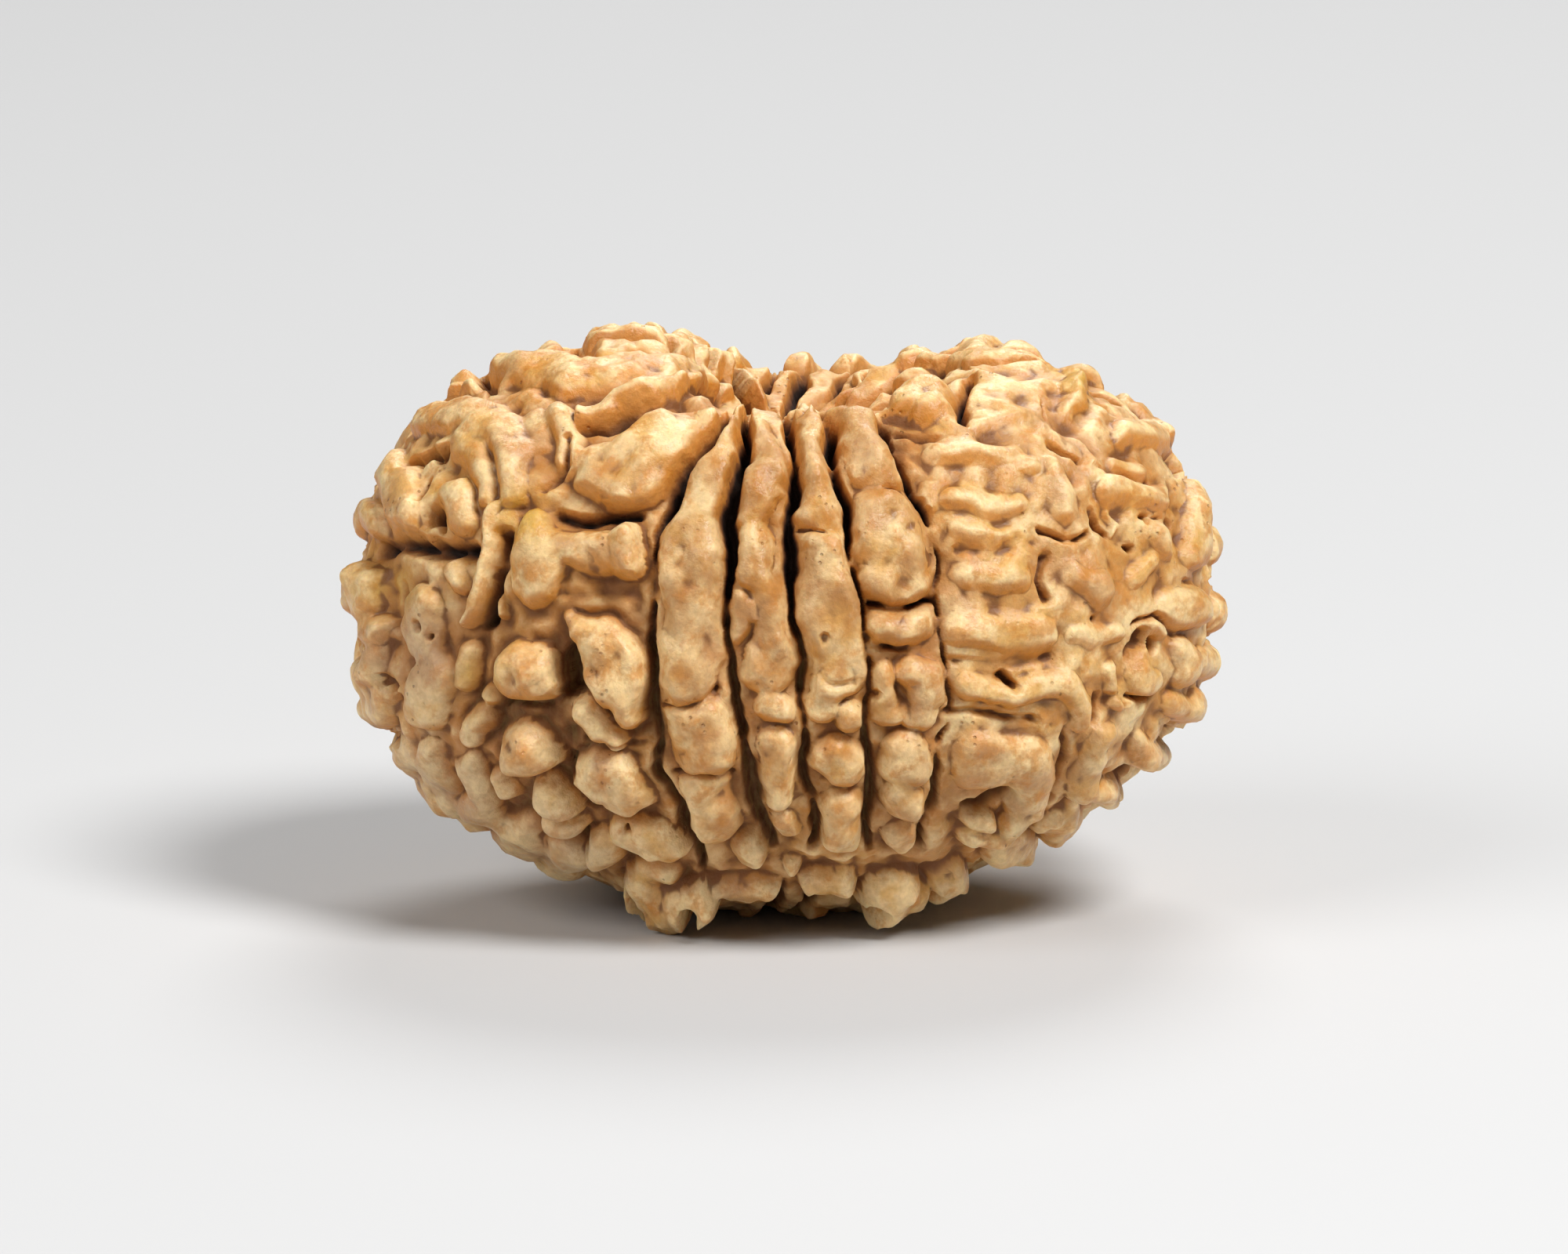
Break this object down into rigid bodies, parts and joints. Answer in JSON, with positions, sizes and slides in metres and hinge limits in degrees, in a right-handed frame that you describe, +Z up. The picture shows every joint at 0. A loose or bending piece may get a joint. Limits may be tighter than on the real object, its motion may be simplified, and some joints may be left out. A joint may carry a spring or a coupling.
{
  "type": "rudraksha seed",
  "caption": "Broad woody rudraksha bead seed, saddle-topped, with knobbed faces parted by deep furrows that run to a natural bore, resting on low knobs.",
  "frame": {"origin": "middle of the seed's box in plan, on the surface it rests on", "axes": "+X along the long side, to the right in the picture; +Y away from the viewer; +Z up, along the bore"},
  "size_m": [0.0376, 0.0274, 0.0247],
  "materials": {
    "seed_wood": "dry woody stone, satin on the knobs from handling and oil, dull and fibrous in the furrows"
  },
  "bodies": {
    "root": {"rudraksha_seed": "seed_wood"}
  },
  "joints": []
}
